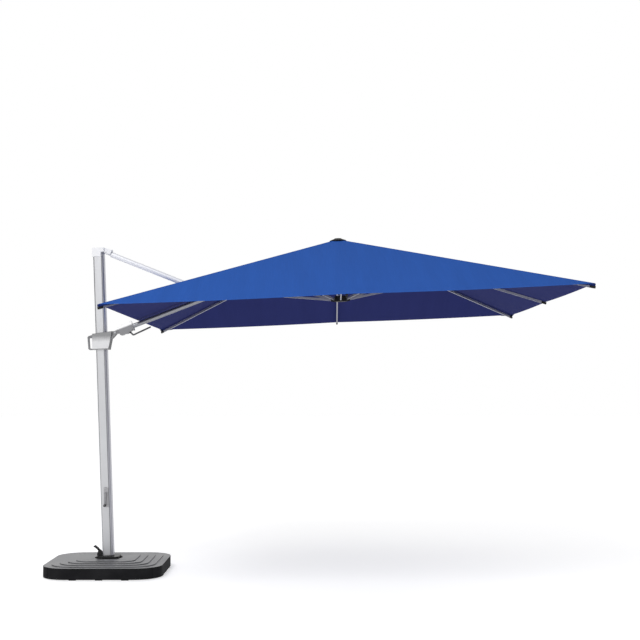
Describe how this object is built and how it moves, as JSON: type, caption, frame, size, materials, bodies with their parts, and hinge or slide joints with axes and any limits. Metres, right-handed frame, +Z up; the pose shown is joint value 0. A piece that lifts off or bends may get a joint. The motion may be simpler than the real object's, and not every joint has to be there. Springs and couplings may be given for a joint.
{
  "type": "cantilever parasol",
  "caption": "Free-standing side-mast parasol: square pyramid canopy on folding ribs, hung from a boom that folds on a mast slider, turning on a ballast base.",
  "frame": {"origin": "centre of the base's underside, on the ground, on the vertical turning axis", "axes": "+Z up; +X from the mast towards the canopy; Y across, with the crank on the -Y side of the mast"},
  "size_m": [4.1896, 3.5114, 2.8102],
  "materials": {
    "ballast_cover": "matte",
    "ballast_slab": "matte",
    "frame_steel": "satin",
    "foot_rubber": "matte",
    "zinc_steel": "satin",
    "black_metal": "satin",
    "mast_silver": "satin",
    "cap_silver": "satin",
    "slider_grey": "satin",
    "liner_plastic": "matte",
    "boom_silver": "satin",
    "rib_silver": "satin",
    "black_plastic": "matte",
    "canopy_blue": "matte"
  },
  "bodies": {
    "base": {"cross_frame": "frame_steel", "ballast_cover_right": "ballast_cover", "ballast_cover_back": "ballast_cover", "ballast_cover_left": "ballast_cover", "ballast_cover_front": "ballast_cover", "ballast_slabs": "ballast_slab", "base_feet": "foot_rubber", "bearing_housing": "frame_steel", "base_bolts": "zinc_steel"},
    "mast": {"foot_plate": "black_metal", "mast_socket": "zinc_steel", "mast_tube": "mast_silver", "mast_cap": "cap_silver", "strut_pin": "zinc_steel", "winch_boss": "slider_grey", "pedal_bracket": "black_metal"},
    "pedal": {"foot_pedal": "black_plastic"},
    "crank": {"crank_arm": "zinc_steel"},
    "knob": {"crank_knob": "black_plastic"},
    "slider": {"slider_body": "slider_grey", "slider_liner": "liner_plastic", "boom_pin": "zinc_steel", "handle_bracket": "slider_grey"},
    "release": {"release_handle": "slider_grey"},
    "housing": {"boom_housing": "slider_grey", "tilt_pin": "zinc_steel"},
    "tilt_lever": {"tilt_lever": "black_plastic"},
    "boom": {"boom_tube": "boom_silver", "boom_end": "boom_silver", "stay_clamp": "black_plastic"},
    "strut": {"upper_strut": "boom_silver", "strut_head": "cap_silver", "strut_fork": "cap_silver"},
    "crown": {"crown_hub": "black_plastic", "crown_pin": "zinc_steel", "rib_pins": "zinc_steel", "guide_tube": "boom_silver", "apex_cap": "black_plastic", "canopy": "canopy_blue"},
    "runner": {"runner": "black_plastic"},
    "stay_boom": {"stay_boom": "rib_silver"},
    "rib_right": {"rib_right": "rib_silver"},
    "stay_right": {"stay_right": "rib_silver"},
    "rib_back_right": {"rib_back_right": "rib_silver"},
    "stay_back_right": {"stay_back_right": "rib_silver"},
    "rib_back": {"rib_back": "rib_silver"},
    "stay_back": {"stay_back": "rib_silver"},
    "rib_back_left": {"rib_back_left": "rib_silver"},
    "stay_back_left": {"stay_back_left": "rib_silver"},
    "rib_front_left": {"rib_front_left": "rib_silver"},
    "stay_front_left": {"stay_front_left": "rib_silver"},
    "rib_front": {"rib_front": "rib_silver"},
    "stay_front": {"stay_front": "rib_silver"},
    "rib_front_right": {"rib_front_right": "rib_silver"},
    "stay_front_right": {"stay_front_right": "rib_silver"}
  },
  "joints": [
    {"name": "mast_rotation", "type": "hinge", "parent": "base", "child": "mast", "pos_m": [0, 0, 0.1], "axis": [0, 0, 1], "continuous": true},
    {"name": "slider_travel", "type": "slide", "parent": "mast", "child": "slider", "axis": [-0.0428, 0, 0.9991], "range_m": [-1.14767, 0]},
    {"name": "boom_swing", "type": "hinge", "parent": "slider", "child": "housing", "pos_m": [0.03651, 0, 2.00331], "axis": [0, -1, 0], "range_deg": [0, 61.31]},
    {"name": "boom_roll", "type": "hinge", "parent": "housing", "child": "boom", "pos_m": [0.03651, 0, 2.00331], "axis": [0.9324, 0, 0.3615], "range_deg": [-18, 18]},
    {"name": "strut_swing", "type": "hinge", "parent": "mast", "child": "strut", "pos_m": [-0.04583, 0, 2.68641], "axis": [0, -1, 0], "range_deg": [-53.73, 0]},
    {"name": "crown_hinge", "type": "hinge", "parent": "boom", "child": "crown", "pos_m": [1.86485, 0, 2.7123], "axis": [0, -1, 0], "range_deg": [-61.31, 0], "deforming": ["canopy"]},
    {"name": "rib_right_fold", "type": "hinge", "parent": "crown", "child": "rib_right", "pos_m": [1.98498, 0, 2.76948], "axis": [0, 1, 0], "range_deg": [0, 67.85]},
    {"name": "stay_right_fold", "type": "hinge", "parent": "rib_right", "child": "stay_right", "pos_m": [2.87552, 0, 2.47752], "axis": [0, -1, 0], "range_deg": [0, 146.59]},
    {"name": "rib_back_right_fold", "type": "hinge", "parent": "crown", "child": "rib_back_right", "pos_m": [1.96742, 0.04243, 2.76872], "axis": [-0.7065, 0.7071, -0.0303], "range_deg": [0, 73.05]},
    {"name": "stay_back_right_fold", "type": "hinge", "parent": "rib_back_right", "child": "stay_back_right", "pos_m": [2.60044, 0.66559, 2.55221], "axis": [0.7065, -0.7071, 0.0303], "range_deg": [0, 146.57]},
    {"name": "rib_back_fold", "type": "hinge", "parent": "crown", "child": "rib_back", "pos_m": [1.92503, 0.06, 2.76691], "axis": [-0.9991, 0, -0.0428], "range_deg": [0, 67.85]},
    {"name": "stay_back_fold", "type": "hinge", "parent": "rib_back", "child": "stay_back", "pos_m": [1.93916, 0.93722, 2.43737], "axis": [0.9991, 0, 0.0428], "range_deg": [0, 146.59]},
    {"name": "rib_back_left_fold", "type": "hinge", "parent": "crown", "child": "rib_back_left", "pos_m": [1.88264, 0.04243, 2.76509], "axis": [-0.7065, -0.7071, -0.0303], "range_deg": [0, 73.05]},
    {"name": "stay_back_left_fold", "type": "hinge", "parent": "rib_back_left", "child": "stay_back_left", "pos_m": [1.27048, 0.66559, 2.49519], "axis": [0.7065, 0.7071, 0.0303], "range_deg": [0, 146.57]},
    {"name": "rib_front_left_fold", "type": "hinge", "parent": "crown", "child": "rib_front_left", "pos_m": [1.88264, -0.04243, 2.76509], "axis": [0.7065, -0.7071, 0.0303], "range_deg": [0, 73.05]},
    {"name": "stay_front_left_fold", "type": "hinge", "parent": "rib_front_left", "child": "stay_front_left", "pos_m": [1.27048, -0.66559, 2.49519], "axis": [-0.7065, 0.7071, -0.0303], "range_deg": [0, 146.57]},
    {"name": "rib_front_fold", "type": "hinge", "parent": "crown", "child": "rib_front", "pos_m": [1.92503, -0.06, 2.76691], "axis": [0.9991, 0, 0.0428], "range_deg": [0, 67.85]},
    {"name": "stay_front_fold", "type": "hinge", "parent": "rib_front", "child": "stay_front", "pos_m": [1.93916, -0.93722, 2.43737], "axis": [-0.9991, 0, -0.0428], "range_deg": [0, 146.59]},
    {"name": "rib_front_right_fold", "type": "hinge", "parent": "crown", "child": "rib_front_right", "pos_m": [1.96742, -0.04243, 2.76872], "axis": [0.7065, 0.7071, 0.0303], "range_deg": [0, 73.05]},
    {"name": "stay_front_right_fold", "type": "hinge", "parent": "rib_front_right", "child": "stay_front_right", "pos_m": [2.60044, -0.66559, 2.55221], "axis": [-0.7065, -0.7071, -0.0303], "range_deg": [0, 146.57]},
    {"name": "stay_boom_fold", "type": "hinge", "parent": "boom", "child": "stay_boom", "pos_m": [1.0178, 0, 2.34736], "axis": [0, -1, 0], "range_deg": [-136.32, 0]},
    {"name": "runner_travel", "type": "slide", "parent": "crown", "child": "runner", "axis": [-0.0428, 0, 0.9991], "range_m": [-1.3405, 0]},
    {"name": "foot_pedal_press", "type": "hinge", "parent": "mast", "child": "pedal", "pos_m": [-0.074, 0, 0.166], "axis": [0, -1, 0], "range_deg": [0, 12], "stiffness_Nm_per_rad": 6},
    {"name": "release_squeeze", "type": "hinge", "parent": "slider", "child": "release", "pos_m": [-0.16819, 0, 1.96851], "axis": [0, -1, 0], "range_deg": [0, 3], "stiffness_Nm_per_rad": 8},
    {"name": "tilt_squeeze", "type": "hinge", "parent": "housing", "child": "tilt_lever", "pos_m": [0.15846, 0, 2.0152], "axis": [0, -1, 0], "range_deg": [0, 8], "stiffness_Nm_per_rad": 4},
    {"name": "crank_turn", "type": "hinge", "parent": "mast", "child": "crank", "pos_m": [-0.02073, -0.05, 0.65362], "axis": [0, -1, 0], "range_deg": [0, 4320.5]},
    {"name": "knob_spin", "type": "hinge", "parent": "crank", "child": "knob", "pos_m": [-0.02455, -0.092, 0.55639], "axis": [0, -1, 0], "continuous": true}
  ],
  "couplings": [
    {"joint": "boom_swing", "follows": "slider_travel", "rad_per_m": -0.93162},
    {"joint": "strut_swing", "follows": "slider_travel", "rad_per_m": 0.81639},
    {"joint": "crown_hinge", "follows": "slider_travel", "rad_per_m": 0.93162},
    {"joint": "rib_right_fold", "follows": "slider_travel", "rad_per_m": -1.0311},
    {"joint": "stay_right_fold", "follows": "slider_travel", "rad_per_m": -2.2285},
    {"joint": "rib_back_right_fold", "follows": "slider_travel", "rad_per_m": -1.1102},
    {"joint": "stay_back_right_fold", "follows": "slider_travel", "rad_per_m": -2.2282},
    {"joint": "rib_back_fold", "follows": "slider_travel", "rad_per_m": -1.0311},
    {"joint": "stay_back_fold", "follows": "slider_travel", "rad_per_m": -2.2285},
    {"joint": "rib_back_left_fold", "follows": "slider_travel", "rad_per_m": -1.1102},
    {"joint": "stay_back_left_fold", "follows": "slider_travel", "rad_per_m": -2.2282},
    {"joint": "rib_front_left_fold", "follows": "slider_travel", "rad_per_m": -1.1102},
    {"joint": "stay_front_left_fold", "follows": "slider_travel", "rad_per_m": -2.2282},
    {"joint": "rib_front_fold", "follows": "slider_travel", "rad_per_m": -1.0311},
    {"joint": "stay_front_fold", "follows": "slider_travel", "rad_per_m": -2.2285},
    {"joint": "rib_front_right_fold", "follows": "slider_travel", "rad_per_m": -1.1102},
    {"joint": "stay_front_right_fold", "follows": "slider_travel", "rad_per_m": -2.2282},
    {"joint": "stay_boom_fold", "follows": "slider_travel", "rad_per_m": 2.0723},
    {"joint": "runner_travel", "follows": "slider_travel", "ratio": 1.1676},
    {"joint": "crank_turn", "follows": "slider_travel", "rad_per_m": -65.697}
  ]
}
